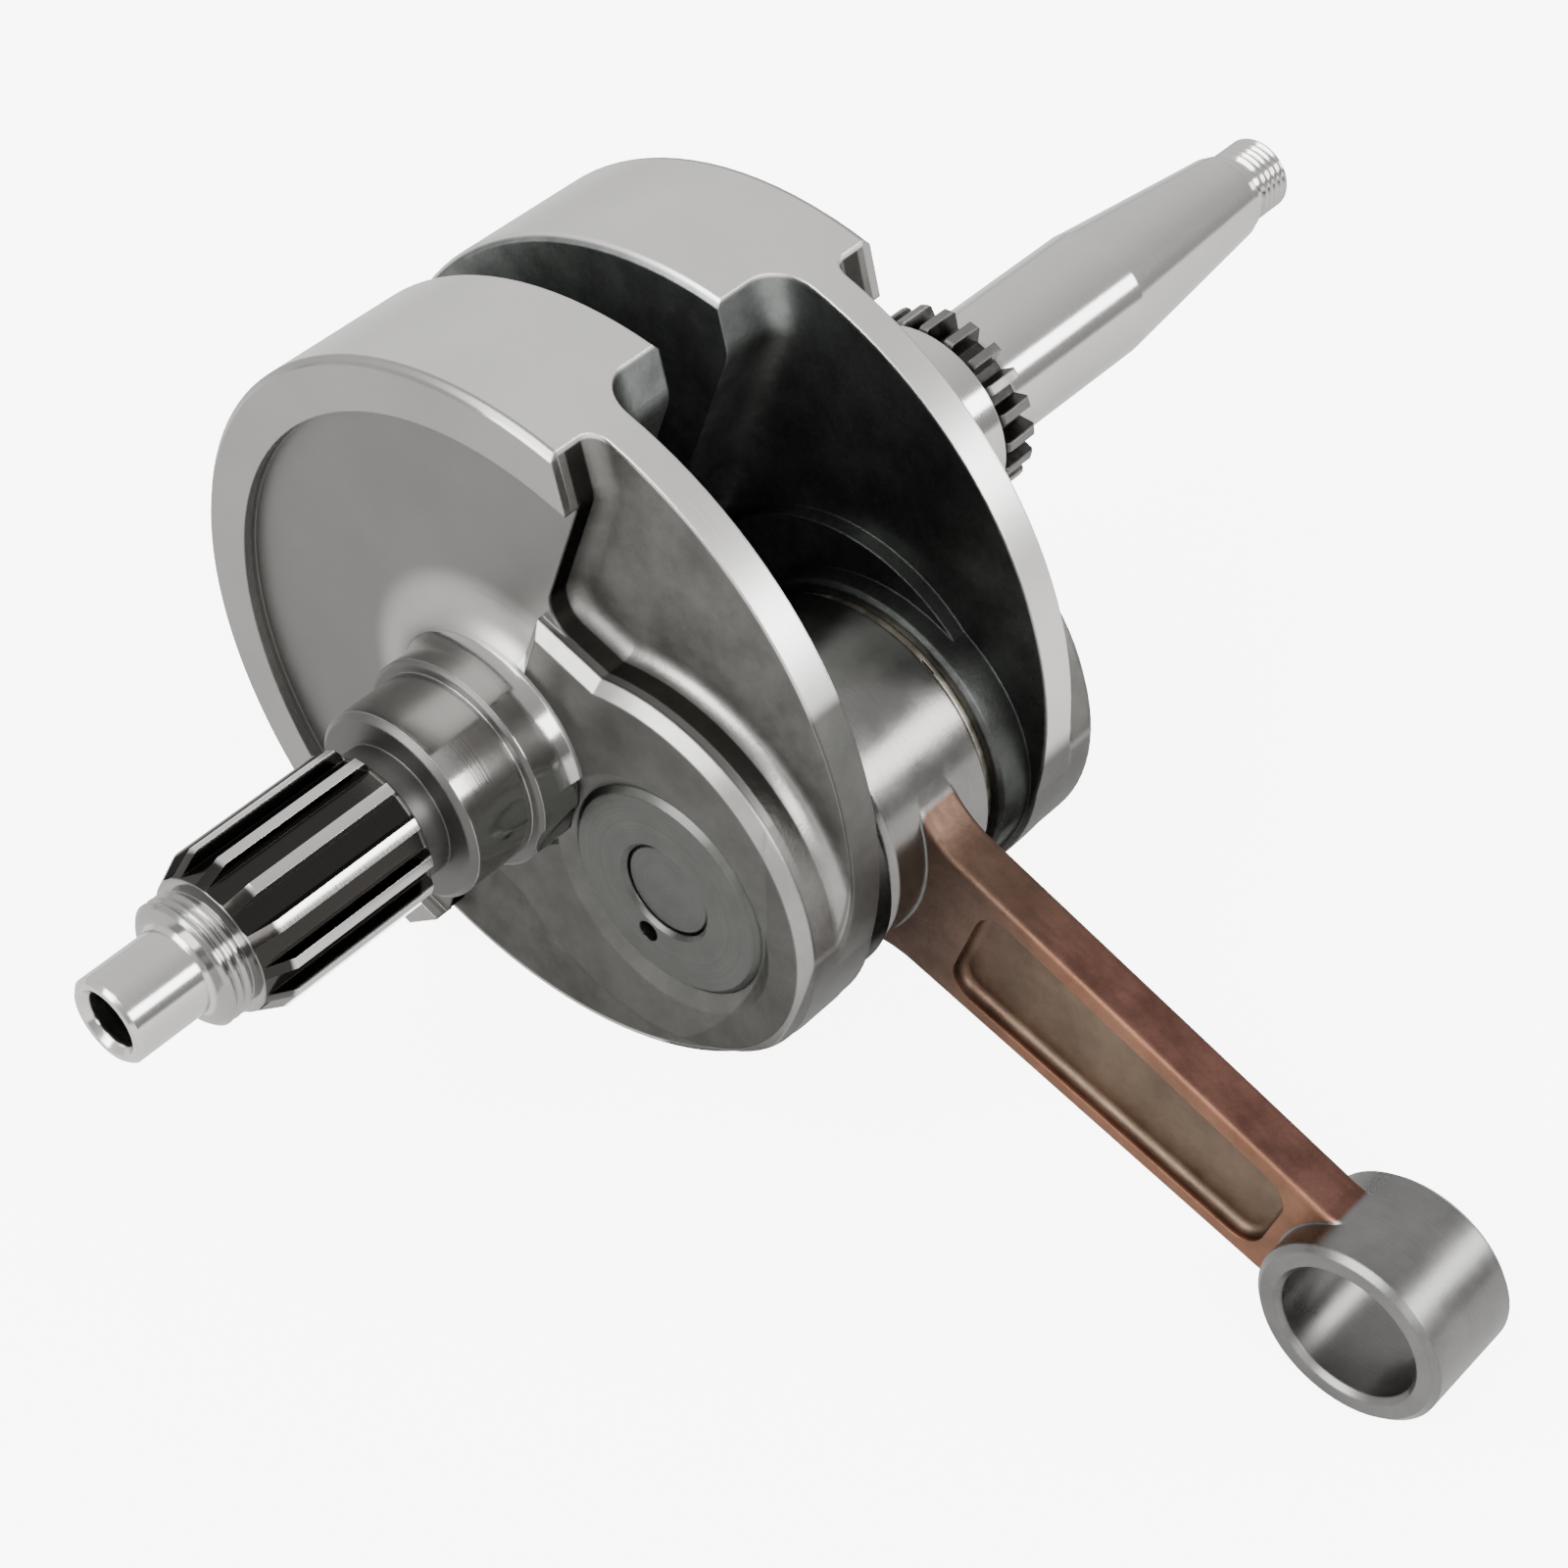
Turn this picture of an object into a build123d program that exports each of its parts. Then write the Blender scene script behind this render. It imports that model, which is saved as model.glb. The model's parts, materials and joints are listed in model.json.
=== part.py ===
from build123d import *
import math
import os

# Built-up crankshaft of a single-cylinder four-stroke engine, with its connecting rod.
# Frame: +X runs along the crank axis from the splined drive end to the tapered flywheel end,
# the origin is on that axis at the middle plane of the rod, and +Z is up.
# At rest the assembly lies on both webs and on the small end of the rod.

os.makedirs("parts", exist_ok=True)

# ---- main sizes, mm ----
stroke = 62.0
rod_length = 100.5
web_radius = 55.0
pin_dip = 18.5                  # degrees by which the crank pin lies below the level of the shafts

# ---- webs: distances from the middle plane of the rod ----
counterweight_inner = 5.4
pad_face = 11.1
plate_inner = 17.0
plate_outer = 22.0
recess_face = 27.4
rim_face = 29.5
boss_face = 30.0
rim_inner_radius = 47.6
rim_corner_fillet = 4.0
rim_bevel = 0.9
web_reach = 1.6                 # radii of bare plate drawn round a web before it is trimmed
end_wall_u = 0.0                # the outer half of the counterweight stops on the diameter
inner_wall_u = -5.0
rim_corner_slope = 0.65
boss_centre_u = 26.0
boss_radius = 29.4
flank_half_width = 25.5
flank_length = 15.0
flank_fillet = 4.5
boss_bevel = 1.6
foot_radius = 2.4
inner_foot_radius = 5.5
inner_corner_fillet = 5.0
pad_radius = 23.4
inner_boss_height = 2.4
inner_boss_radius = 25.9
inner_boss_centre_u = 23.4

# ---- crank pin and big-end bearing ----
pin_radius = 16.0
pin_half_length = 29.4
pin_bore_radius = 7.0
pin_mouth_radius = 18.4
plug_thickness = 5.0
roller_count = 16
roller_diameter = 3.5
roller_length = 14.0
race_clearance = 0.03
cage_inner_radius = 16.6
cage_outer_radius = 18.9
cage_width = 19.0
washer_inner_radius = 16.1
washer_outer_radius = 21.5
washer_thickness = 1.0
washer_slot_depth = 0.35
washer_slot_width = 2.4
side_play = 0.05

# ---- connecting rod ----
big_end_radius = 22.6
big_end_half_width = 10.0
small_end_radius = 13.8
small_end_half_width = 8.6
wrist_bore_radius = 10.0
wrist_bore_lead = 0.8
end_bevel = 0.9
shank_thickness = 7.4
shank_root = 16.0                # distances from the crank pin along the shank
shank_root_half_width = 12.4
shank_tip_gap = 9.0
shank_tip_half_width = 9.7
big_end_fillet = 15.0
small_end_fillet = 5.0
flange_width = 2.7
channel_start = 31.0
channel_tip_gap = 16.0
channel_depth = 2.3
channel_corner = 4.0
channel_floor_fillet = 1.2

# ---- oil way ----
oil_radius = 1.6
oil_offset_v = 9.6
oil_way_x = -20.0
shaft_oil_radius = 2.5

# ---- drive side shaft ----
hub_radius = 15.6
hub_fillet = 6.0
drive_hub_end = 37.0
drive_journal_radius = 14.0
drive_journal_end = 47.6
spline_teeth = 13
spline_tip_radius = 11.7
spline_root_radius = 9.8
spline_groove_half_root = 1.5
spline_groove_half_reach = 2.35  # half width of a groove, 1 mm outside the tooth tips
spline_phase = 9.0               # degrees from level, on the -Y side, to the first tooth
spline_start = 79.6
spline_end = 51.8
spline_lead = 4.0
nut_thread_radius = 9.0
stub_radius = 6.2
stub_bore_radius = 4.0
nut_thread_end = 84.7
nut_thread_pitch = 1.0
drive_end = 96.6

# ---- flywheel side shaft ----
flywheel_hub_radius = 17.4
flywheel_hub_end = 34.0
flywheel_journal_radius = 15.0
gear_seat_radius = 11.5
gear_start = 59.6
gear_width = 6.4
gear_teeth = 20
gear_module = 1.35
gear_phase = 6.0
gear_groove_half_root = 0.73
gear_groove_half_reach = 1.78    # half width of a tooth space, 0.5 mm outside the tips
starter_seat_radius = 10.4
taper_start = 98.0
taper_end = 131.0
taper_slope = 0.1               # radius lost for each mm of length: a 1 in 5 taper on diameter
end_thread_radius = 6.0
relief_start = 132.6
relief_radius = 5.2
end_thread_start = 134.6
end_thread_pitch = 1.25
flywheel_end = 141.5
key_width = 4.0
key_disc_radius = 8.0
key_height = 6.4
key_proud = 1.5
centre_radius = 2.4
centre_pilot_radius = 1.2

throw = stroke / 2
shaft_root = boss_face + 1      # the shafts start inside the round shoulders of the webs
bore_race_radius = pin_radius + roller_diameter + race_clearance
pitch_radius = pin_radius + roller_diameter / 2 + race_clearance / 2
pin_y = -throw * math.cos(math.radians(pin_dip))
pin_z = -throw * math.sin(math.radians(pin_dip))
small_end_z = -(web_radius - small_end_radius)
rod_dip = math.degrees(math.asin((pin_z - small_end_z) / rod_length))

# The crank is drawn with its pin on +Y, and the rod with its small end on +Y.
# These turn both to the way they lie at rest, with the pin and the rod reaching towards -Y.
crank_place = Rot(180 + pin_dip, 0, 0)
rod_place = Pos(0, pin_y, pin_z) * Rot(180 + rod_dip, 0, 0)
pin_place = Pos(0, pin_y, pin_z)
# The key stands a quarter turn round from the crank pin, on the lower side at rest.
key_place = Rot(270 + pin_dip, 0, 0)


def turned(points):
    """A solid turned about the X axis from (x, radius) points."""
    outline = make_face(Polyline(*points, close=True))
    return revolve(outline, Axis.X)


def disc(radius, x0, x1, y=0.0, z=0.0):
    """A round bar along X from x0 to x1."""
    return extrude(Plane.YZ.offset(x0) * Pos(y, z) * Circle(radius), x1 - x0)


def upright_bar(radius, length):
    """A round bar standing on the origin along +Z."""
    return Cylinder(radius, length, align=(Align.CENTER, Align.CENTER, Align.MIN))


def slab(sketch, x0, x1):
    """A flat outline in Y and Z, given thickness from x0 to x1."""
    return extrude(Plane.YZ.offset(x0) * sketch, x1 - x0)


def chamfered_disc(radius, x0, x1, bevel, y=0.0, z=0.0):
    """A round bar along X with both edges bevelled."""
    points = [
        (x0, 0),
        (x0, radius - bevel),
        (x0 + bevel, radius),
        (x1 - bevel, radius),
        (x1, radius - bevel),
        (x1, 0),
    ]
    return Pos(0, y, z) * turned(points)


def thread_points(x0, x1, radius, pitch):
    """Crests and roots of a thread, drawn as rings, from x0 to x1."""
    depth = 0.55 * pitch
    turns = int(abs(x1 - x0) / pitch)
    step = (x1 - x0) / turns
    points = [(x0, radius - depth)]
    for turn in range(turns):
        start = x0 + turn * step
        points.append((start + 0.40 * step, radius))
        points.append((start + 0.60 * step, radius))
        points.append((start + step, radius - depth))
    return points


# ---- webs, drawn on the +X side ----
def counterweight_outline(wall_u):
    """Everything on the far side of the crank axis from the pin, with its corners cut back."""
    far = 2 * web_radius
    corner = wall_u - rim_corner_slope * (far - rim_inner_radius)
    points = [
        (-far, far),
        (corner, far),
        (wall_u, rim_inner_radius),
        (wall_u, -rim_inner_radius),
        (corner, -far),
        (-far, -far),
    ]
    return make_face(Polyline(*points, close=True))


def boss_outline():
    """The eccentric round boss around the pin, with straight flanks back to the shaft."""
    flank = Pos(flank_length / 2, 0) * Rectangle(flank_length, 2 * flank_half_width)
    return flank + Pos(boss_centre_u, 0) * Circle(boss_radius)


def corners_at(outline, u, half_width):
    """The two corners of an outline that lie level on either side of the web's middle line."""
    found = []
    for vertex in outline.vertices():
        if abs(vertex.X - u) < 0.01 and abs(abs(vertex.Y) - half_width) < 0.01:
            found.append(vertex)
    return found


def foot_edges(block, x):
    """Edges where a raised outline meets the face of the plate at x, clear of the plate's rim."""
    found = []
    for edge in block.edges():
        box = edge.bounding_box()
        flat = box.size.X < 0.001 and abs(box.min.X - x) < 0.001
        inside = math.hypot(edge.center().Y, edge.center().Z) < 1.3 * web_radius
        if flat and inside and box.max.Y < (web_reach - 0.05) * web_radius:
            found.append(edge)
    return found


def outer_block():
    """Plate with the counterweight and boss standing on its outer face, foot radius included."""
    outline = counterweight_outline(end_wall_u) + boss_outline()
    outline = fillet(corners_at(outline, end_wall_u, flank_half_width), flank_fillet)
    outline = fillet(corners_at(outline, end_wall_u, rim_inner_radius), rim_corner_fillet)
    plate = disc(web_reach * web_radius, plate_inner, plate_outer)
    block = plate + slab(outline, plate_outer - 1, recess_face)
    return fillet(foot_edges(block, plate_outer), foot_radius)


def inner_block():
    """Counterweight on the inner face of the plate, with a wide radius at its foot."""
    outline = counterweight_outline(inner_wall_u)
    outline = fillet(corners_at(outline, inner_wall_u, rim_inner_radius), inner_corner_fillet)
    plate = disc(web_reach * web_radius, plate_inner, plate_outer)
    block = plate + slab(outline, counterweight_inner, plate_inner + 1)
    block = fillet(foot_edges(block, plate_inner), inner_foot_radius)
    return block & chamfered_disc(web_radius, counterweight_inner, rim_face, rim_bevel)


def web():
    """One web with its counterweight, boss, recess and pin bore."""
    boss = slab(boss_outline(), plate_inner, boss_face)
    boss = chamfer(boss.faces().sort_by(Axis.X)[-1].edges(), boss_bevel)
    trim = chamfered_disc(web_radius, plate_inner, boss_face + 1, rim_bevel)
    trim = trim + disc(boss_radius, plate_inner, boss_face, boss_centre_u)
    rim = Circle(web_radius) - Circle(rim_inner_radius)
    rim = slab(rim & counterweight_outline(end_wall_u), recess_face - 1, rim_face)
    rim = rim & chamfered_disc(web_radius, plate_inner, rim_face, rim_bevel)
    pad = chamfered_disc(pad_radius, pad_face, plate_inner + 2, 0.6, throw)
    low = plate_inner - inner_boss_height
    inner_boss = disc(inner_boss_radius, low, plate_inner + 1, inner_boss_centre_u)
    return (outer_block() & trim) + boss + rim + inner_block() + inner_boss + pad


def pin_bore(core_radius, hub_end):
    """Bore for the crank pin with its wide mouth, which also scallops the round shoulder."""
    bore = disc(pin_radius, pad_face - 1, boss_face, throw)
    scallop = disc(pin_radius - 0.1, boss_face - 1, hub_end, throw)
    mouth = [
        (boss_face - 1.4, 0),
        (boss_face - 1.4, pin_radius),
        (boss_face, pin_mouth_radius),
        (boss_face + hub_fillet, pin_mouth_radius),
        (boss_face + hub_fillet, 0),
    ]
    mouth = Pos(0, throw, 0) * turned(mouth)
    return bore + scallop + (mouth - disc(core_radius, boss_face, 2 * boss_face))


# ---- crank halves ----
def hub(radius, end):
    """Round shoulder on the outside of a web, run into the recess with a wide radius."""
    foot = (recess_face, radius + hub_fillet)
    neck = (recess_face + hub_fillet, radius)
    inset = hub_fillet * (1 - math.sqrt(0.5))
    middle = (recess_face + inset, radius + inset)
    curve = ThreePointArc(foot, middle, neck)
    points = [
        neck,
        (end - 0.5, radius),
        (end, radius - 0.5),
        (end, 0),
        (plate_inner, 0),
        (plate_inner, foot[1]),
        foot,
    ]
    return revolve(make_face(curve + Polyline(*points)), Axis.X)


def drive_shaft():
    """Journal, spline, nut thread and oil feed stub, drawn towards +X."""
    neck = spline_root_radius - 0.2
    points = [
        (shaft_root, 0),
        (shaft_root, drive_journal_radius),
        (drive_journal_end - 0.8, drive_journal_radius),
        (drive_journal_end, drive_journal_radius - 0.8),
        (drive_journal_end, neck),
        (spline_end - 0.6, neck),
        (spline_end + 0.6, spline_tip_radius),
        (spline_start - spline_lead, spline_tip_radius),
        (spline_start, spline_root_radius),
        (spline_start + 0.4, nut_thread_radius - 0.9),
    ]
    collar_end = nut_thread_end - 0.4
    points += thread_points(spline_start + 1.0, collar_end, nut_thread_radius, nut_thread_pitch)
    points += [
        (nut_thread_end, stub_radius + 0.6),
        (nut_thread_end + 0.6, stub_radius),
        (drive_end - 0.6, stub_radius),
        (drive_end, stub_radius - 0.6),
        (drive_end, 0),
    ]
    shaft = turned(points)
    space = spline_groove()
    for tooth in range(spline_teeth):
        angle = 180 - spline_phase + (tooth + 0.5) * 360 / spline_teeth
        shaft = shaft - Rot(angle, 0, 0) * space
    return shaft


def spline_groove():
    """The space between two spline teeth, on +Y."""
    reach = spline_tip_radius + 1
    points = [
        (spline_root_radius, spline_groove_half_root),
        (reach, spline_groove_half_reach),
        (reach, -spline_groove_half_reach),
        (spline_root_radius, -spline_groove_half_root),
    ]
    return slab(make_face(Polyline(*points, close=True)), spline_end - 1.2, spline_start + 0.5)


def oil_way():
    """Slanting drilling in the drive side web, from the shaft to the crank pin."""
    length = math.hypot(throw, oil_offset_v) + 1.0
    drill = Rot(-90, 0, 0) * upright_bar(oil_radius, length)
    slant = math.degrees(math.atan2(oil_offset_v, throw))
    return Rot(slant, 0, 0) * Pos(oil_way_x, 0, 0) * drill


def drive_side_crank_half():
    body = web() + hub(hub_radius, drive_hub_end) - pin_bore(hub_radius, drive_hub_end)
    body = mirror(body, Plane.YZ) - oil_way()
    half = crank_place * body + mirror(drive_shaft(), Plane.YZ)
    half = half - disc(stub_bore_radius, -drive_end - 1, -spline_start + 2)
    half = half - disc(shaft_oil_radius, -spline_start - 1, oil_way_x + oil_radius)
    mouth = [
        (-drive_end - 0.01, 0),
        (-drive_end - 0.01, stub_bore_radius + 0.9),
        (-drive_end + 0.9, stub_bore_radius),
        (-drive_end + 0.9, 0),
    ]
    return half - turned(mouth)


def taper_radius(x):
    return starter_seat_radius - taper_slope * (x - taper_start)


def flywheel_shaft():
    """Main journal, gear seat, starter gear seat, taper and end thread."""
    gear_end = gear_start + gear_width
    neck = end_thread_radius + 0.6
    points = [
        (shaft_root, 0),
        (shaft_root, flywheel_journal_radius),
        (gear_start - 0.8, flywheel_journal_radius),
        (gear_start, flywheel_journal_radius - 0.8),
        (gear_start, gear_seat_radius),
        (gear_end + 0.6, gear_seat_radius),
        (gear_end + 1.6, starter_seat_radius),
        (taper_start, starter_seat_radius),
        (taper_end, taper_radius(taper_end)),
        (taper_end + 0.4, neck),
        (relief_start, neck),
        (relief_start + 0.5, relief_radius),
        (end_thread_start - 0.5, relief_radius),
    ]
    points += thread_points(end_thread_start, flywheel_end - 0.6, end_thread_radius, end_thread_pitch)
    points += [
        (flywheel_end, end_thread_radius - 1.2),
        (flywheel_end, centre_radius),
        (flywheel_end - centre_radius, centre_pilot_radius),
        (flywheel_end - 5.0, centre_pilot_radius),
        (flywheel_end - 5.6, 0),
    ]
    return turned(points)


def key_blank(width):
    """Half-moon key blank standing on the taper, on +Y."""
    middle = (taper_start + taper_end) / 2
    top = taper_radius(middle) + key_proud
    centre = top + key_disc_radius - key_height
    moon = Pos(middle, centre, 0) * Circle(key_disc_radius)
    cap = Pos(middle, top + key_disc_radius) * Rectangle(4 * key_disc_radius, 2 * key_disc_radius)
    tilt = Pos(middle, top) * Rot(0, 0, -math.degrees(math.atan(taper_slope))) * Pos(-middle, -top)
    return extrude(tilt * (moon - cap), width / 2, both=True)


def flywheel_side_crank_half():
    body = web() + hub(flywheel_hub_radius, flywheel_hub_end)
    body = body - pin_bore(flywheel_hub_radius, flywheel_hub_end)
    return crank_place * body + flywheel_shaft() - key_place * key_blank(key_width)


def woodruff_key():
    return key_place * key_blank(key_width)


def cam_drive_gear():
    """Small straight-toothed gear pressed on beside the flywheel side main journal."""
    gear_pitch_radius = gear_module * gear_teeth / 2
    tip = gear_pitch_radius + gear_module
    root = gear_pitch_radius - 1.2 * gear_module
    x0 = gear_start
    x1 = gear_start + gear_width
    blank = chamfered_disc(tip, x0, x1, 0.5)
    space = [
        (root, gear_groove_half_root),
        (tip + 0.5, gear_groove_half_reach),
        (tip + 0.5, -gear_groove_half_reach),
        (root, -gear_groove_half_root),
    ]
    groove = slab(make_face(Polyline(*space, close=True)), x0 - 1, x1 + 1)
    for tooth in range(gear_teeth):
        angle = 180 - gear_phase + (tooth + 0.5) * 360 / gear_teeth
        blank = blank - Rot(angle, 0, 0) * groove
    return blank - disc(gear_seat_radius, x0 - 1, x1 + 1)


# ---- crank pin and its bearing, drawn about the pin ----
def crank_pin():
    """Hollow pin with the oil drilling in its end and the outlet under the rollers."""
    end = pin_half_length
    points = [
        (-end, pin_bore_radius + 0.6),
        (-end, pin_radius - 0.9),
        (-end + 0.9, pin_radius),
        (end - 0.9, pin_radius),
        (end, pin_radius - 0.9),
        (end, pin_bore_radius + 0.6),
        (end - 0.6, pin_bore_radius),
        (-end + 0.6, pin_bore_radius),
    ]
    pin = turned(points)
    pin = pin - disc(oil_radius, -end - 1, 1.5, 0, oil_offset_v)
    outlet = upright_bar(oil_radius - 0.3, pin_radius - oil_offset_v + 1)
    pin = pin - Pos(0, 0, oil_offset_v) * outlet
    pin = pin - Pos(0, -throw, 0) * oil_way()
    return pin_place * crank_place * pin


def pin_plug(side):
    """Steel plug pressed into one end of the hollow crank pin."""
    outer = pin_half_length - 0.7
    plug = chamfered_disc(pin_bore_radius, outer - plug_thickness, outer, 0.5)
    if side < 0:
        plug = mirror(plug, Plane.YZ)
    return pin_place * plug


def thrust_washer(side):
    """Flat ring between the big end and one web."""
    inner = big_end_half_width + side_play
    outer = inner + washer_thickness
    ring = disc(washer_outer_radius, inner, outer)
    ring = ring - disc(washer_inner_radius, inner - 1, outer + 1)
    ring = ring - Pos(inner, 0, 0) * ring_slots()
    if side < 0:
        ring = mirror(ring, Plane.YZ)
    return pin_place * ring


def ring_slots():
    """Three shallow oil slots in the face that meets the rod."""
    middle = (washer_inner_radius + washer_outer_radius) / 2
    slot = Pos(0, middle, 0) * Box(2 * washer_slot_depth, 8, washer_slot_width)
    slots = Part()
    for turn in range(3):
        slots = slots + Rot(120 * turn, 0, 0) * slot
    return slots


def big_end_cage():
    """Roller cage with one window for each roller."""
    half = cage_width / 2
    cage = chamfered_disc(cage_outer_radius, -half, half, 0.3)
    cage = cage - disc(cage_inner_radius, -half - 1, half + 1)
    window = Pos(0, pitch_radius, 0) * Box(roller_length + 0.4, 6, roller_diameter + 0.24)
    for index in range(roller_count):
        cage = cage - Rot(360 * index / roller_count, 0, 0) * window
    return pin_place * cage


def roller(index):
    """One big-end roller in its window."""
    half = roller_length / 2
    bar = chamfered_disc(roller_diameter / 2, -half, half, 0.25, pitch_radius)
    return pin_place * Rot(360 * index / roller_count, 0, 0) * bar


# ---- connecting rod, drawn with the big end at the origin and the small end on +Y ----
def end_corners(outline, centre, radius):
    """Corners where the flanks of the shank meet one round end of the rod."""
    found = []
    for vertex in outline.vertices():
        on_end = abs(math.hypot(vertex.X - centre, vertex.Y) - radius) < 0.01
        between = vertex.X > 0 and vertex.X < rod_length
        if on_end and between and abs(vertex.Y) > 1:
            found.append(vertex)
    return found


def shank_outline():
    """Both round ends and the tapering shank between them."""
    tip = rod_length - shank_tip_gap
    points = [
        (shank_root, shank_root_half_width),
        (tip, shank_tip_half_width),
        (tip, -shank_tip_half_width),
        (shank_root, -shank_root_half_width),
    ]
    outline = make_face(Polyline(*points, close=True))
    outline = outline + Circle(big_end_radius) + Pos(rod_length, 0) * Circle(small_end_radius)
    outline = fillet(end_corners(outline, 0, big_end_radius), big_end_fillet)
    return fillet(end_corners(outline, rod_length, small_end_radius), small_end_fillet)


def shank_half_width(s):
    """Half width of the shank at distance s from the crank pin."""
    span = rod_length - shank_tip_gap - shank_root
    share = (s - shank_root) / span
    return shank_root_half_width + share * (shank_tip_half_width - shank_root_half_width)


def channel():
    """The hollow of the I-section on one face of the shank."""
    end = rod_length - channel_tip_gap
    wide = shank_half_width(channel_start) - flange_width
    narrow = shank_half_width(end) - flange_width
    points = [(channel_start, wide), (end, narrow), (end, -narrow), (channel_start, -wide)]
    outline = make_face(Polyline(*points, close=True))
    outline = fillet(outline.vertices(), channel_corner)
    top = shank_thickness / 2
    hollow = slab(outline, top - channel_depth, top + 0.2)
    floor_edges = hollow.faces().sort_by(Axis.X)[0].edges()
    return fillet(floor_edges, channel_floor_fillet)


def flange_edges(shank):
    """The long edges of the shank, clear of both round ends."""
    found = []
    for edge in shank.edges():
        middle = edge.center()
        on_face = edge.bounding_box().size.X < 0.001
        on_flank = middle.Y > 0 and middle.Y < rod_length and abs(middle.Z) > 4
        clear_big = math.hypot(middle.Y, middle.Z) > big_end_radius + 0.2
        clear_small = math.hypot(middle.Y - rod_length, middle.Z) > small_end_radius + 0.2
        if on_face and on_flank and clear_big and clear_small:
            found.append(edge)
    return found


def connecting_rod():
    """I-section rod with a wide big end, a narrower small end and a plain wrist pin bore."""
    half = shank_thickness / 2
    shank = slab(shank_outline(), -half, half)
    shank = fillet(flange_edges(shank), 1.0)
    hollow = channel()
    shank = shank - hollow - mirror(hollow, Plane.YZ)
    wide = big_end_half_width
    narrow = small_end_half_width
    big_end = chamfered_disc(big_end_radius, -wide, wide, end_bevel)
    small_end = chamfered_disc(small_end_radius, -narrow, narrow, end_bevel, rod_length)
    rod = shank + big_end + small_end
    rod = rod - disc(bore_race_radius, -wide - 1, wide + 1)
    rod = rod - disc(wrist_bore_radius, -narrow - 1, narrow + 1, rod_length)
    mouth = [
        (narrow - wrist_bore_lead, 0),
        (narrow - wrist_bore_lead, wrist_bore_radius),
        (narrow + 0.01, wrist_bore_radius + wrist_bore_lead),
        (narrow + 0.01, 0),
    ]
    cone = Pos(0, rod_length, 0) * turned(mouth)
    rod = rod - cone - mirror(cone, Plane.YZ)
    return rod_place * rod


pieces = {
    "drive_side_crank_half": drive_side_crank_half(),
    "flywheel_side_crank_half": flywheel_side_crank_half(),
    "crank_pin": crank_pin(),
    "pin_plug_drive_side": pin_plug(-1),
    "pin_plug_flywheel_side": pin_plug(1),
    "cam_drive_gear": cam_drive_gear(),
    "woodruff_key": woodruff_key(),
    "connecting_rod": connecting_rod(),
    "thrust_washer_drive_side": thrust_washer(-1),
    "thrust_washer_flywheel_side": thrust_washer(1),
    "big_end_cage": big_end_cage(),
}
for index in range(roller_count):
    pieces[f"big_end_roller_{index + 1:02d}"] = roller(index)

for name, piece in pieces.items():
    export_step(piece, f"parts/{name}.step")

print("crank pin centre", round(pin_y, 4), round(pin_z, 4))
print("rod dip", round(rod_dip, 4))
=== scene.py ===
import json
import math

import bpy
from mathutils import Matrix, Vector


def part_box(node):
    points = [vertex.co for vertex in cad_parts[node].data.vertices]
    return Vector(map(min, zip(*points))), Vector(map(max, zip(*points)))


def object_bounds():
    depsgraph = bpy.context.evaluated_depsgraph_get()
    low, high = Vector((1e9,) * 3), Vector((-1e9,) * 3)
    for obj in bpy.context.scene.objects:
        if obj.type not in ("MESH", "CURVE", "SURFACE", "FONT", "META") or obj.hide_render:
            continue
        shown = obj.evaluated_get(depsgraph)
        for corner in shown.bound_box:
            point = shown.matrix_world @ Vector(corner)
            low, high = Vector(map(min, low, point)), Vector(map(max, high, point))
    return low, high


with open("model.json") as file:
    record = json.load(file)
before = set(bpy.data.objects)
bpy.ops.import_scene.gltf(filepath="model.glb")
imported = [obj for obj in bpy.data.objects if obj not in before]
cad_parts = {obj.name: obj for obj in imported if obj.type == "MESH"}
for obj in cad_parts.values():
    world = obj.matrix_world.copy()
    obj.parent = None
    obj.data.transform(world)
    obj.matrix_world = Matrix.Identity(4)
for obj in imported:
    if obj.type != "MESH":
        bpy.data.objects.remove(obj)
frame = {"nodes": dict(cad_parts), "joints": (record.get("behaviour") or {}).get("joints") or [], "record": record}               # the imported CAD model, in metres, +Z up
cad_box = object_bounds()

# ---- places read from the frame ----
mounts = {mount["name"]: mount for mount in frame["record"]["mounts"]}
joints = {joint["name"]: joint for joint in frame["joints"]}
crank_axis = Vector((0, 0, 0))
pin_centre = Vector(joints["rod_swing"]["pos_m"])
small_centre = Vector(mounts["wrist_pin_bore"]["pos_m"])
throw_way = pin_centre.normalized()                 # from the crank axis to the crank pin
rod_way = (small_centre - pin_centre).normalized()  # along the rod, from big end to small end
rod_side = Vector((1, 0, 0)).cross(rod_way)
floor_height = cad_box[0][2]
web_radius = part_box("drive_side_crank_half")[1][2]
boss_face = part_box("crank_pin")[1][0] + 0.0006      # distance of the pin bosses from the middle plane

# ---- distances that part one finish from the next ----
# from the middle plane
inner_face = 0.0171             # the faces of the webs that look at the rod lie within this
plate_face = 0.0220
recess_face = 0.0274
hub_start = boss_face + 0.0004
journal_end = 0.0475
spline_span = (0.0518, 0.0796)
nut_thread_end = 0.0848
shank_half_thickness = 0.0037
foot_height = 0.0022            # of the fillet where the pin boss rises from the plate
boss_bevel = 0.0017
# from the crank axis
rim_inner_radius = 0.0476
hub_foot_radius = 0.0230
neck_radius = 0.0130
spline_tip_radius = 0.0117
gear_tip_radius = 0.01455
# from the crank pin or the small end
pin_mouth_radius = 0.0214
big_end_radius = 0.0226
small_end_radius = 0.0138
wrist_bore_radius = 0.0100
channel_half_width = 0.0092
shank_root_end = 0.038
# from the crank axis towards the crank pin
foot_highlight_start = 0.012
cheek_start = 0.0365            # where the ground rim gives way to the forged cheek
far_cheek_start = 0.0530
step_shade_end = 0.0440
inside_shade = (-0.010, 0.030)  # painted light and shade: the inner faces between the webs go from lighter at the counterweight side to darker towards the big end
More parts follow.
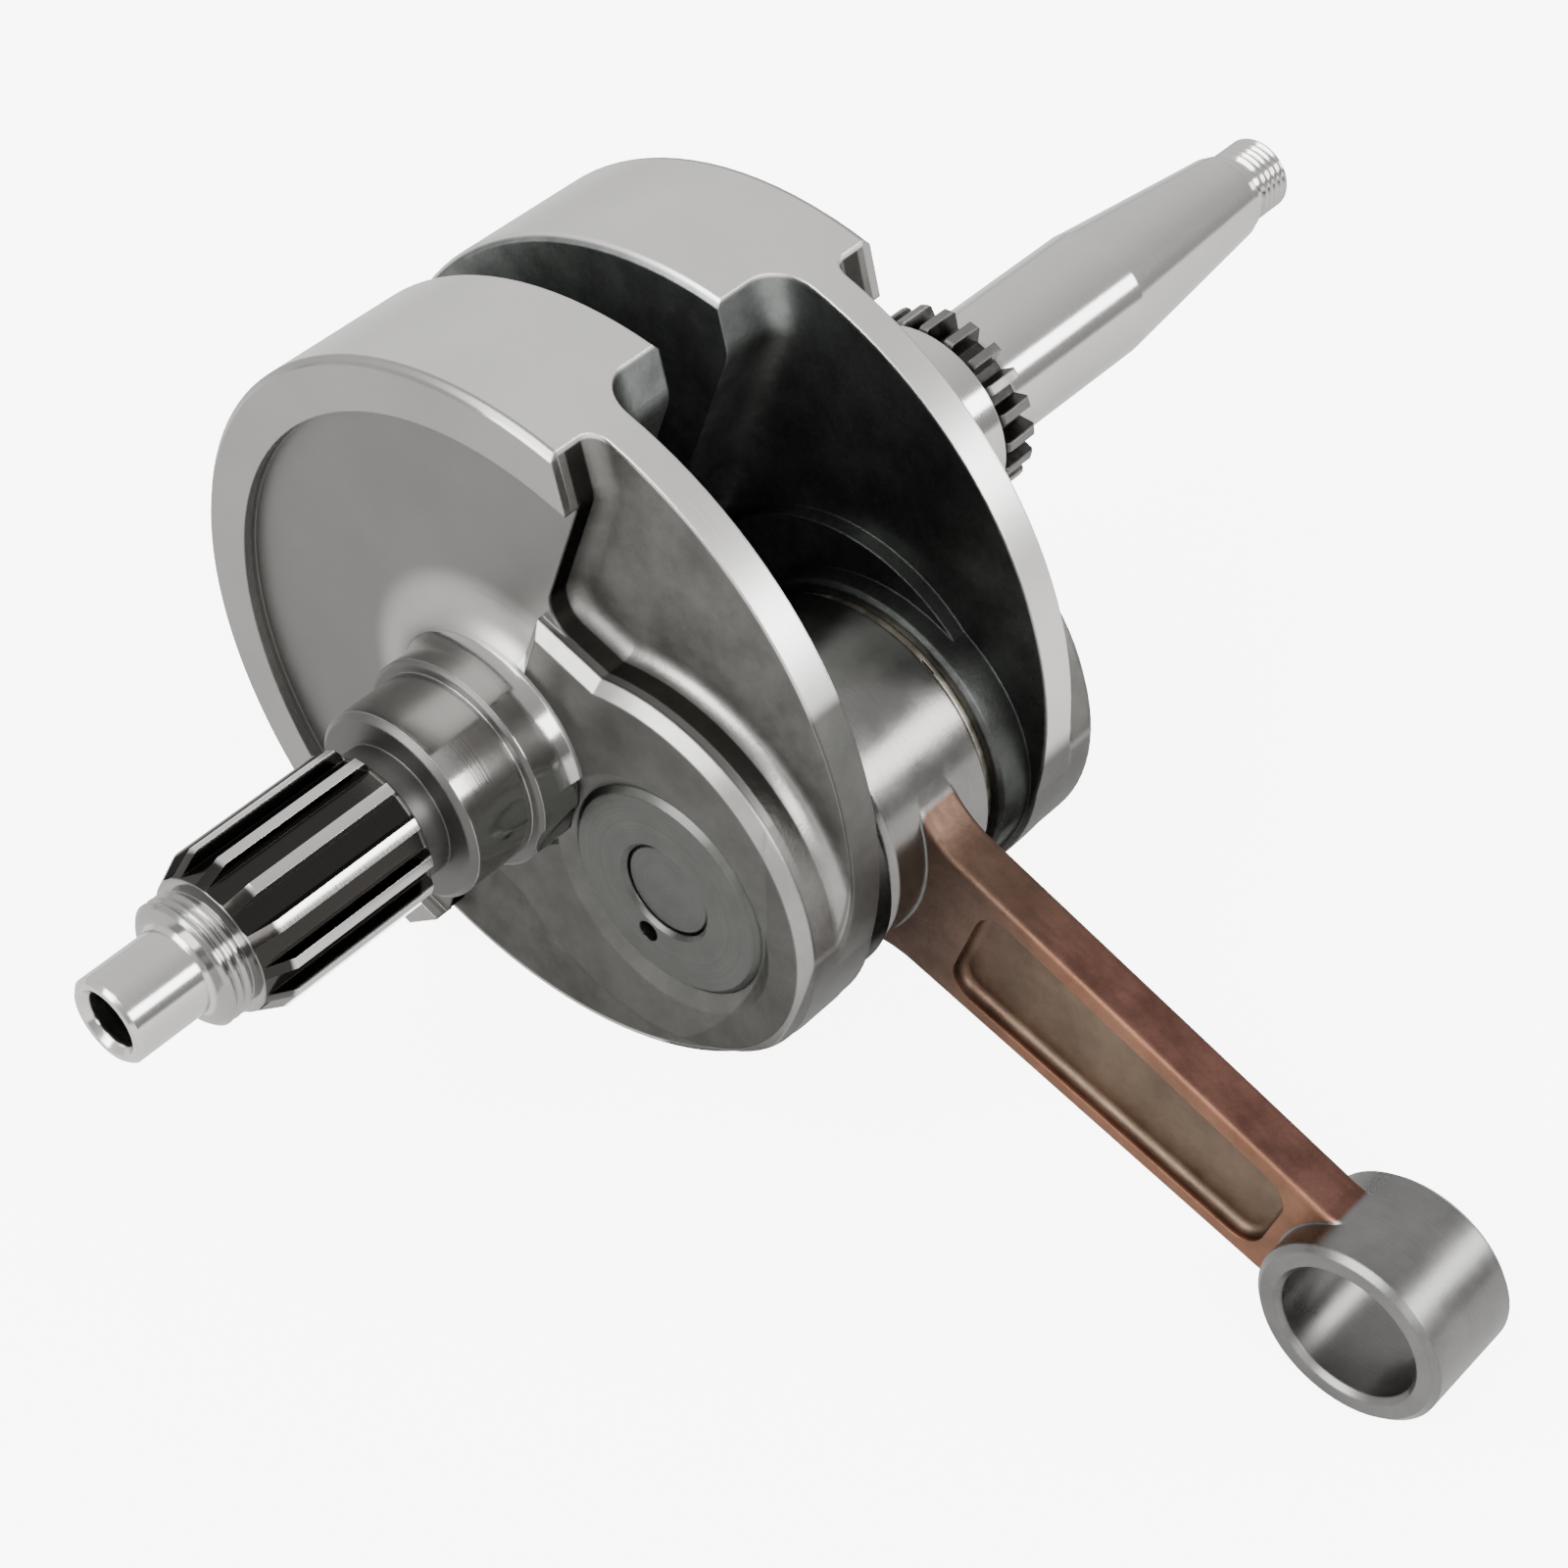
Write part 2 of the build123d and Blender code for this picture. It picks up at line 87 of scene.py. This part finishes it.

# ---- colours of the metals, linear ----
forged_grey = (0.134, 0.130, 0.123)
# painted shade: the walls where the plate steps up to the recess and the pin boss are darkened as if in
# shadow
step_painted_shade = (0.040, 0.038, 0.035)
recess_grey = (0.158, 0.154, 0.148)
# painted highlight along the fillet where the pin boss rises from the plate
boss_foot_painted_highlight = (0.250, 0.243, 0.232)
boss_grey = (0.096, 0.095, 0.089)
# painted highlight on the bevel round the pin boss face
bevel_painted_highlight = (0.260, 0.255, 0.245)
hub_foot_grey = (0.33, 0.322, 0.31)
shaft_bright = (0.53, 0.518, 0.505)
# painted shade: the hub and journal beside the web are a darker copy of the shaft steel
journal_painted_shade = (0.37, 0.362, 0.352)
thread_grey = (0.30, 0.293, 0.285)
rim_bright = (0.62, 0.605, 0.59)
rim_face_grey = (0.290, 0.282, 0.273)
cheek_grey = (0.095, 0.094, 0.089)
# painted shade on the shaft shoulders that face along the axis and in the neck groove
shoulder_painted_shade = (0.090, 0.088, 0.084)
# painted light and shade on the inner faces between the webs
inside_painted_light = (0.165, 0.174, 0.168)
inside_painted_shade = (0.060, 0.063, 0.060)
# painted shade down in the spline grooves
groove_painted_shade = (0.030, 0.028, 0.026)
plug_grey = (0.080, 0.082, 0.077)
pin_grey = (0.080, 0.082, 0.076)
gear_dark = (0.045, 0.043, 0.040)
gear_tip_grey = (0.16, 0.155, 0.15)
small_end_grey = (0.150, 0.148, 0.144)
big_end_grey = (0.190, 0.185, 0.177)
# painted shade inside the wrist pin bore
wrist_bore_painted_shade = (0.13, 0.127, 0.122)
copper_side = (0.092, 0.044, 0.034)
copper_channel = (0.125, 0.088, 0.062)
# copper plating brightened as a painted highlight on the flange faces
copper_flange_highlight = (0.200, 0.098, 0.060)
copper_root = (0.088, 0.054, 0.039)
washer_bronze = (0.42, 0.38, 0.32)
roller_bright = (0.66, 0.65, 0.63)
key_grey = (0.45, 0.44, 0.42)
cage_bronze = (0.50, 0.45, 0.36)
floor_grey = (0.55, 0.55, 0.545)
paper_white = (1.0, 1.0, 0.995)
white = (1.0, 1.0, 1.0)
glancing_grey = (0.25, 0.25, 0.25)  # scaled steel mirrors little at a glancing angle


class Finish:
    """One material, built as a node graph. Every argument may be a number, a colour or a socket."""

    def __init__(self, name):
        self.material = bpy.data.materials.new(name)
        self.material.use_nodes = True
        self.tree = self.material.node_tree
        self.shader = self.tree.nodes["Principled BSDF"]
        source = self.add("ShaderNodeTexCoord")
        self.place = source.outputs["Object"]
        self.normal = source.outputs["Normal"]
        split = self.add("ShaderNodeSeparateXYZ")
        self.link(self.place, split.inputs[0])
        self.x, self.y, self.z = split.outputs
        self.depth = self.calc("ABSOLUTE", self.x)
        self.radius = self.distance(crank_axis)

    def add(self, kind, **settings):
        node = self.tree.nodes.new(kind)
        for name, value in settings.items():
            setattr(node, name, value)
        return node

    def link(self, value, socket):
        if isinstance(value, bpy.types.NodeSocket):
            self.tree.links.new(value, socket)
        elif isinstance(value, tuple) and len(value) == 3 and len(socket.default_value) == 4:
            socket.default_value = (*value, 1.0)
        else:
            socket.default_value = value

    def calc(self, operation, *values):
        node = self.add("ShaderNodeMath", operation=operation)
        for value, socket in zip(values, node.inputs):
            self.link(value, socket)
        return node.outputs[0]

    def along(self, direction, origin=crank_axis):
        """Distance from origin along a direction."""
        node = self.add("ShaderNodeVectorMath", operation="DOT_PRODUCT")
        self.link(self.place, node.inputs[0])
        self.link(tuple(direction), node.inputs[1])
        return self.calc("SUBTRACT", node.outputs["Value"], direction.dot(origin))

    def distance(self, centre):
        """Distance from the line through centre that runs along X."""
        across = self.calc("SUBTRACT", self.y, centre.y)
        up = self.calc("SUBTRACT", self.z, centre.z)
        squares = self.calc("ADD", self.calc("MULTIPLY", across, across), self.calc("MULTIPLY", up, up))
        return self.calc("SQRT", squares)

    def ramp(self, value, start, end, low=0.0, high=1.0):
        """low before start, high after end, and smooth between them."""
        node = self.add("ShaderNodeMapRange", interpolation_type="SMOOTHSTEP")
        for item, socket in zip((value, start, end, low, high), node.inputs):
            self.link(item, socket)
        return node.outputs[0]

    def over(self, value, edge, blur=0.0002):
        return self.ramp(value, edge - blur, edge + blur)

    def under(self, value, edge, blur=0.0002):
        return self.ramp(value, edge - blur, edge + blur, 1.0, 0.0)

    def within(self, value, start, end, blur=0.0002):
        return self.both(self.over(value, start, blur), self.under(value, end, blur))

    def both(self, *masks):
        result = masks[0]
        for mask in masks[1:]:
            result = self.calc("MULTIPLY", result, mask)
        return result

    def either(self, *masks):
        result = masks[0]
        for mask in masks[1:]:
            result = self.calc("MAXIMUM", result, mask)
        return result

    def facing_ends(self):
        """1 on faces that look along the crank axis, 0 on faces that look across it."""
        split = self.add("ShaderNodeSeparateXYZ")
        self.link(self.normal, split.inputs[0])
        return self.ramp(self.calc("ABSOLUTE", split.outputs[0]), 0.45, 0.62)

    def mix(self, mask, first, second):
        """first where the mask is 0 and second where it is 1, for numbers and for colours."""
        kinds = [getattr(value, "type", "") for value in (first, second)]
        colours = "RGBA" in kinds or isinstance(first, tuple) or isinstance(second, tuple)
        node = self.add("ShaderNodeMix", data_type="RGBA" if colours else "FLOAT")
        sockets = [socket for socket in node.inputs if socket.enabled]
        for value, socket in zip((mask, first, second), sockets):
            self.link(value, socket)
        return [socket for socket in node.outputs if socket.enabled][0]

    def layers(self, base, *masked):
        """The base with each (mask, value) laid over it in turn."""
        for mask, value in masked:
            base = self.mix(mask, base, value)
        return base

    def noise(self, scale, detail=3.0, rough=0.5, stretch=None):
        """Cloudy pattern, 0 to 1, with about scale spots to the metre."""
        node = self.add("ShaderNodeTexNoise")
        node.inputs["Scale"].default_value = scale
        node.inputs["Detail"].default_value = detail
        node.inputs["Roughness"].default_value = rough
        place = self.place
        if stretch:
            mapping = self.add("ShaderNodeMapping")
            mapping.inputs["Scale"].default_value = stretch
            self.link(place, mapping.inputs["Vector"])
            place = mapping.outputs[0]
        self.link(place, node.inputs["Vector"])
        return node.outputs[0]

    def lines(self, value, pitch):
        """Tool marks that run round the axis, of uneven depth, 0 to 1."""
        node = self.add("ShaderNodeTexNoise", noise_dimensions="1D")
        node.inputs["Scale"].default_value = 1.0
        node.inputs["Detail"].default_value = 2.0
        self.link(self.calc("DIVIDE", value, pitch), node.inputs["W"])
        return node.outputs[0]

    def tint(self, colour, value, amount):
        """The colour, darker and lighter by amount as value goes from 0 to 1."""
        node = self.add("ShaderNodeHueSaturation")
        self.link(self.ramp(value, 0.25, 0.75, 1.0 - amount, 1.0 + amount), node.inputs["Value"])
        self.link(colour, node.inputs["Color"])
        return node.outputs[0]

    def bump(self, height, depth, normal=None):
        """A normal from a height of 0 to 1 that stands for depth metres."""
        node = self.add("ShaderNodeBump")
        node.inputs["Distance"].default_value = 1.0
        self.link(self.calc("MULTIPLY", height, depth), node.inputs["Height"])
        if normal is not None:
            self.link(normal, node.inputs["Normal"])
        return node.outputs[0]

    def soft_edges(self, radius):
        """A normal that rounds every edge a little, as handling and tumbling do."""
        node = self.add("ShaderNodeBevel", samples=4)
        self.link(radius, node.inputs["Radius"])
        return node.outputs[0]

    def finish(self, colour, roughness, normal, metallic=1.0):
        self.link(colour, self.shader.inputs["Base Color"])
        self.link(roughness, self.shader.inputs["Roughness"])
        self.link(normal, self.shader.inputs["Normal"])
        self.link(metallic, self.shader.inputs["Metallic"])
        return self.material


def crank_zones(f):
    """Masks of the differently worked parts of a crank half."""
    throw = f.along(throw_way)
    left = f.calc("MULTIPLY", f.x, -1.0)
    weight_side = f.under(throw, 0.0, 0.0010)
    off_rim = f.under(f.radius, web_radius - 0.001)
    raised = f.over(f.depth, recess_face - 0.0003)
    before_hub = f.under(f.depth, hub_start, 0.0001)
    zone = {"throw": throw}

    zone["rim"] = f.over(f.radius, web_radius - 0.0006)
    zone["rim_face"] = f.both(
        f.over(f.radius, rim_inner_radius), f.over(f.depth, recess_face + 0.0008), weight_side
    )
    far_band = f.both(
        f.over(f.x, 0.0), f.under(f.depth, plate_face + 0.0004), f.under(throw, far_cheek_start, 0.0006)
    )
    zone["cheek"] = f.both(
        zone["rim"], f.over(throw, cheek_start, 0.0010), f.calc("SUBTRACT", 1.0, far_band)
    )
    # inner faces between the webs, which carry painted light and shade
    zone["inside"] = f.both(
        f.under(f.depth, inner_face, 0.0001), f.under(f.radius, web_radius - 0.0004)
    )
    # painted shade on the step walls between plate and recess, short of the far pin side
    zone["step"] = f.both(
        f.within(f.depth, plate_face + foot_height, recess_face - 0.0004), f.under(throw, step_shade_end, 0.0040)
    )
    zone["recess"] = f.both(f.under(f.radius, rim_inner_radius), raised, f.under(f.depth, boss_face))
    zone["hub_foot"] = f.both(
        f.under(f.radius, hub_foot_radius, 0.0020), raised, before_hub, weight_side
    )

    # painted highlight: the foot fillet of the pin boss is brightened
    zone["boss_foot"] = f.both(
        f.within(f.depth, plate_face + 0.0002, plate_face + foot_height),
        f.over(throw, foot_highlight_start, 0.0040), off_rim
    )
    zone["boss"] = f.both(f.over(f.depth, boss_face - 0.0020), f.over(throw, 0.0), before_hub)
    # painted highlight: the bevel round the pin boss face is brightened
    zone["bevel"] = f.both(
        zone["boss"], f.over(f.depth, boss_face - boss_bevel), f.under(f.depth, boss_face - 0.0001, 0.0001),
        f.over(f.distance(pin_centre), pin_mouth_radius)
    )

    zone["shaft"] = f.over(f.depth, hub_start)
    zone["journal"] = f.under(f.depth, journal_end)
    # painted shade: the shoulders that face along the axis and the neck groove are darkened
    neck = f.both(f.within(left, journal_end, spline_span[0]), f.under(f.radius, neck_radius))
    zone["shoulder"] = f.either(
        f.both(zone["shaft"], f.facing_ends(), f.under(f.depth, spline_span[0])), neck
    )
    zone["splined"] = f.within(left, *spline_span)
    # painted shade: the spline grooves are darkened
    zone["grooves"] = f.both(zone["splined"], f.under(f.radius, spline_tip_radius - 0.0002))
    zone["nut_thread"] = f.within(left, spline_span[1], nut_thread_end)
    zone["ground"] = f.either(zone["rim"], zone["rim_face"], zone["shaft"])
    return zone


def crank_steel():
    """Forged webs with ground rims and journals and turned bosses, with painted shade in the spline
    grooves, on the steps, shoulders and inner faces, and painted highlights on the boss bevels and feet.
    """
    f = Finish("crank_steel")
    zone = crank_zones(f)
    grain = f.noise(1400.0, 4.0, 0.6)
    scale = f.noise(160.0, 5.0, 0.6)
    haze = f.noise(60.0, 3.0, 0.5)
    marks = f.lines(f.calc("ADD", f.x, f.radius), 0.00025)

    bright = f.layers(
        # painted shade on the hub and journal, next to the webs
        f.mix(zone["journal"], shaft_bright, journal_painted_shade),
        (zone["nut_thread"], thread_grey),
        (zone["rim"], rim_bright),
    )
    shade = f.mix(f.ramp(zone["throw"], *inside_shade), inside_painted_light, inside_painted_shade)
    colour = f.layers(
        f.tint(forged_grey, scale, 0.18),
        (zone["step"], f.tint(step_painted_shade, scale, 0.20)),
        (zone["recess"], f.tint(recess_grey, haze, 0.05)),
        (zone["boss_foot"], f.tint(boss_foot_painted_highlight, scale, 0.12)),
        (zone["boss"], f.tint(boss_grey, scale, 0.14)),
        (zone["bevel"], f.tint(bevel_painted_highlight, scale, 0.12)),
        (zone["hub_foot"], f.tint(hub_foot_grey, haze, 0.05)),
        (zone["ground"], f.tint(f.tint(bright, haze, 0.04), marks, 0.03)),
        (zone["rim_face"], f.tint(rim_face_grey, haze, 0.05)),
        (zone["cheek"], f.tint(cheek_grey, scale, 0.14)),
        (zone["shoulder"], shoulder_painted_shade),
        (zone["inside"], f.tint(shade, scale, 0.3)),
        (zone["grooves"], groove_painted_shade),
    )
    roughness = f.layers(
        f.ramp(scale, 0.2, 0.8, 0.46, 0.58),
        (zone["step"], 0.34),
        (zone["recess"], 0.42),
        (zone["boss"], 0.46),
        (f.either(zone["bevel"], zone["boss_foot"]), 0.34),
        (zone["ground"], f.ramp(marks, 0.2, 0.8, 0.11, 0.16)),
        (zone["shoulder"], 0.40),
        (zone["rim"], f.ramp(marks, 0.2, 0.8, 0.30, 0.38)),
        (zone["cheek"], 0.48),
        (zone["inside"], 0.38),
    )

    machined = f.either(zone["ground"], zone["recess"])
    f.link(f.mix(machined, glancing_grey, white), f.shader.inputs["Specular Tint"])
    normal = f.soft_edges(f.mix(zone["splined"], 0.0004, 0.0001))
    normal = f.bump(grain, f.mix(machined, 0.00004, 0.000004), normal)
    normal = f.bump(marks, f.mix(zone["ground"], 0.0, 0.0000015), normal)
    return f.finish(colour, roughness, normal)


def pin_steel(name, colour):
    """Ground steel of the crank pin and its plugs, with turned rings on the end faces."""
    f = Finish(name)
    marks = f.lines(f.calc("ADD", f.distance(pin_centre), f.x), 0.0005)
    haze = f.noise(220.0, 4.0)
    colour = f.tint(f.tint(colour, haze, 0.12), marks, 0.06)
    roughness = f.ramp(haze, 0.2, 0.8, 0.30, 0.45)
    return f.finish(colour, roughness, f.bump(marks, 0.000003, f.soft_edges(0.0003)))


def plain_steel(name, colour, smooth, dull):
    """A small steel piece with a fine even grain."""
    f = Finish(name)
    grain = f.noise(500.0, 4.0)
    fine = f.noise(3000.0, 2.0)
    roughness = f.ramp(grain, 0.25, 0.75, smooth, dull)
    return f.finish(f.tint(colour, grain, 0.12), roughness, f.bump(fine, 0.000004, f.soft_edges(0.0002)))


def gear_steel():
    """Dark hardened gear, brighter on the ground tips of its teeth."""
    f = Finish("gear_steel")
    grain = f.noise(700.0, 4.0)
    tips = f.over(f.radius, gear_tip_radius, 0.0001)
    colour = f.mix(tips, f.tint(gear_dark, grain, 0.25), gear_tip_grey)
    roughness = f.ramp(grain, 0.25, 0.75, 0.28, 0.42)
    return f.finish(colour, roughness, f.bump(grain, 0.00002, f.soft_edges(0.0003)))


def rod_steel():
    """Copper plated shank between machined bright ends."""
    f = Finish("rod_steel")
    from_pin = f.distance(pin_centre)
    from_small = f.distance(small_centre)
    beside = f.calc("ABSOLUTE", f.along(rod_side, pin_centre))
    at_pin = f.under(from_pin, big_end_radius + 0.0003)
    copper = f.both(
        f.over(from_pin, big_end_radius + 0.0003), f.over(from_small, small_end_radius + 0.0003)
    )
    channel = f.both(
        f.under(f.depth, shank_half_thickness - 0.0010), f.under(beside, channel_half_width)
    )
    # flange faces, where the copper plating carries a painted highlight
    flange = f.over(f.depth, shank_half_thickness - 0.0004)
    root = f.under(f.along(rod_way, pin_centre), shank_root_end, 0.010)

    cloud = f.noise(130.0, 5.0, 0.6)
    grain = f.noise(1600.0, 4.0, 0.6)
    drawn = f.noise(900.0, 3.0, 0.5, stretch=(1.0, 0.35, 0.35))
    marks = f.lines(f.calc("ADD", f.calc("MINIMUM", from_pin, from_small), f.x), 0.0004)

    ends = f.mix(at_pin, small_end_grey, big_end_grey)
    # painted shade: the wrist pin bore is darker than the small end
    ends = f.mix(f.under(from_small, wrist_bore_radius + 0.0002), ends, wrist_bore_painted_shade)
    plating = f.layers(
        f.tint(copper_side, cloud, 0.30),
        (channel, f.tint(copper_channel, cloud, 0.22)),
        (flange, f.tint(copper_flange_highlight, cloud, 0.20)),
        (root, f.tint(copper_root, cloud, 0.25)),
    )
    colour = f.mix(copper, f.tint(f.tint(ends, marks, 0.03), cloud, 0.12), plating)
    polish = f.mix(at_pin, f.ramp(cloud, 0.3, 0.7, 0.27, 0.33), f.ramp(cloud, 0.3, 0.7, 0.20, 0.26))
    roughness = f.mix(copper, polish, f.ramp(drawn, 0.2, 0.8, 0.40, 0.55))
    normal = f.soft_edges(0.0004)
    normal = f.bump(grain, f.mix(copper, 0.000008, 0.00003), normal)
    normal = f.bump(marks, f.mix(copper, 0.0000018, 0.0), normal)
    return f.finish(colour, roughness, normal)


def dress(node, material):
    """Gives one CAD node its finish."""
    slots = frame["nodes"][node].data.materials
    if not slots:
        slots.append(material)
    for index in range(len(slots)):
        slots[index] = material


def dress_all():
    crank = crank_steel()
    plug = pin_steel("plug_steel", plug_grey)
    washer = plain_steel("washer_steel", washer_bronze, 0.28, 0.42)
    roller = plain_steel("roller_steel", roller_bright, 0.14, 0.24)
    finishes = {
        "drive_side_crank_half": crank,
        "flywheel_side_crank_half": crank,
        "crank_pin": pin_steel("pin_steel", pin_grey),
        "pin_plug_drive_side": plug,
        "pin_plug_flywheel_side": plug,
        "cam_drive_gear": gear_steel(),
        "woodruff_key": plain_steel("key_steel", key_grey, 0.22, 0.34),
        "connecting_rod": rod_steel(),
        "big_end_cage": plain_steel("cage_steel", cage_bronze, 0.30, 0.45),
        "thrust_washer_drive_side": washer,
        "thrust_washer_flywheel_side": washer,
    }
    for node in frame["nodes"]:
        dress(node, finishes.get(node, roller))


# ---- studio ----
view_azimuth = 48.98            # degrees: the camera looks this far round from +Y towards +X
view_elevation = 44.08
view_distance = 0.4819
view_lens = 81.85
aim = Vector((0.0006, -0.0238, -0.0157))
backdrop_white = 7.0            # the paper behind the object is lit apart from it, as product studios do
room_lean = (0.0, 0.75, 0.66)   # the room grows lighter this way, between these strengths
room_strengths = (0.35, 1.25)
strip_angle = 31                # degrees above level, on the -Y side of the crank axis
strip_size = (0.34, 2.2)
strip_power = 28.0
box_place = Vector((-0.98, 0.24, 0.96))
box_size = (1.0, 1.0)
box_power = 36.0


def ring_place(angle, reach):
    """A point round the crank axis: angle 0 is level on the -Y side, and 90 is straight up."""
    turn = math.radians(angle)
    return Vector((0, -reach * math.cos(turn), reach * math.sin(turn)))


def matrix_of(x_way, y_way, z_way, place):
    matrix = Matrix.Identity(4)
    for column, way in enumerate((x_way, y_way, z_way, place)):
        for row in range(3):
            matrix[row][column] = way[row]
    return matrix


def soft_light(name, place, size, power):
    """A softbox that faces the crank axis; size is its width round the axis and its length along X."""
    data = bpy.data.lights.new(name, "AREA")
    data.shape = "RECTANGLE"
    data.size, data.size_y = size
    data.energy = power
    light = bpy.data.objects.new(name, data)
    back = place.normalized()
    long_way = (Vector((1, 0, 0)) - back * back.x).normalized()
    light.matrix_world = matrix_of(long_way.cross(back), long_way, back, place)
    bpy.context.collection.objects.link(light)


def build_camera():
    data = bpy.data.cameras.new("camera")
    data.lens = view_lens
    data.clip_start = 0.01
    camera = bpy.data.objects.new("camera", data)
    azimuth, elevation = math.radians(view_azimuth), math.radians(view_elevation)
    right = Vector((math.cos(azimuth), -math.sin(azimuth), 0))
    ahead = Vector((
        math.sin(azimuth) * math.cos(elevation),
        math.cos(azimuth) * math.cos(elevation),
        -math.sin(elevation),
    ))
    camera.matrix_world = matrix_of(right, right.cross(ahead), -ahead, aim - ahead * view_distance)
    bpy.context.collection.objects.link(camera)
    bpy.context.scene.camera = camera


def build_floor():
    bpy.ops.mesh.primitive_plane_add(size=8.0, location=(0, 0, floor_height))
    floor = bpy.context.object
    floor.name = "studio_floor"
    f = Finish("floor_paper")
    f.finish(floor_grey, 0.9, f.bump(f.noise(400.0), 0.00002), metallic=0.0)
    f.link(paper_white, f.shader.inputs["Emission Color"])
    seen = f.add("ShaderNodeLightPath").outputs["Is Camera Ray"]
    f.link(f.calc("MULTIPLY", seen, backdrop_white), f.shader.inputs["Emission Strength"])
    floor.data.materials.append(f.material)


def build_world():
    """An even room, a little darker near the ground in front of the object."""
    world = bpy.data.worlds.new("studio")
    world.use_nodes = True
    bpy.context.scene.world = world
    tree = world.node_tree
    back = tree.nodes["Background"]
    back.inputs["Color"].default_value = (*white, 1.0)
    way = tree.nodes.new("ShaderNodeTexCoord")
    lean = tree.nodes.new("ShaderNodeVectorMath")
    lean.operation = "DOT_PRODUCT"
    lean.inputs[1].default_value = room_lean
    lift = tree.nodes.new("ShaderNodeMapRange")
    lift.inputs["From Min"].default_value = -0.7
    lift.inputs["From Max"].default_value = 0.7
    lift.inputs["To Min"].default_value, lift.inputs["To Max"].default_value = room_strengths
    tree.links.new(way.outputs["Generated"], lean.inputs[0])
    tree.links.new(lean.outputs["Value"], lift.inputs[0])
    seen = tree.nodes.new("ShaderNodeLightPath")
    strength = tree.nodes.new("ShaderNodeMix")
    tree.links.new(seen.outputs["Is Camera Ray"], strength.inputs[0])
    tree.links.new(lift.outputs[0], strength.inputs[2])
    strength.inputs[3].default_value = backdrop_white
    tree.links.new(strength.outputs[0], back.inputs["Strength"])


def build_lights():
    soft_light("front_strip", ring_place(strip_angle, 1.0), strip_size, strip_power)
    soft_light("left_box", box_place, box_size, box_power)


build_camera()
build_floor()
build_world()
build_lights()
dress_all()
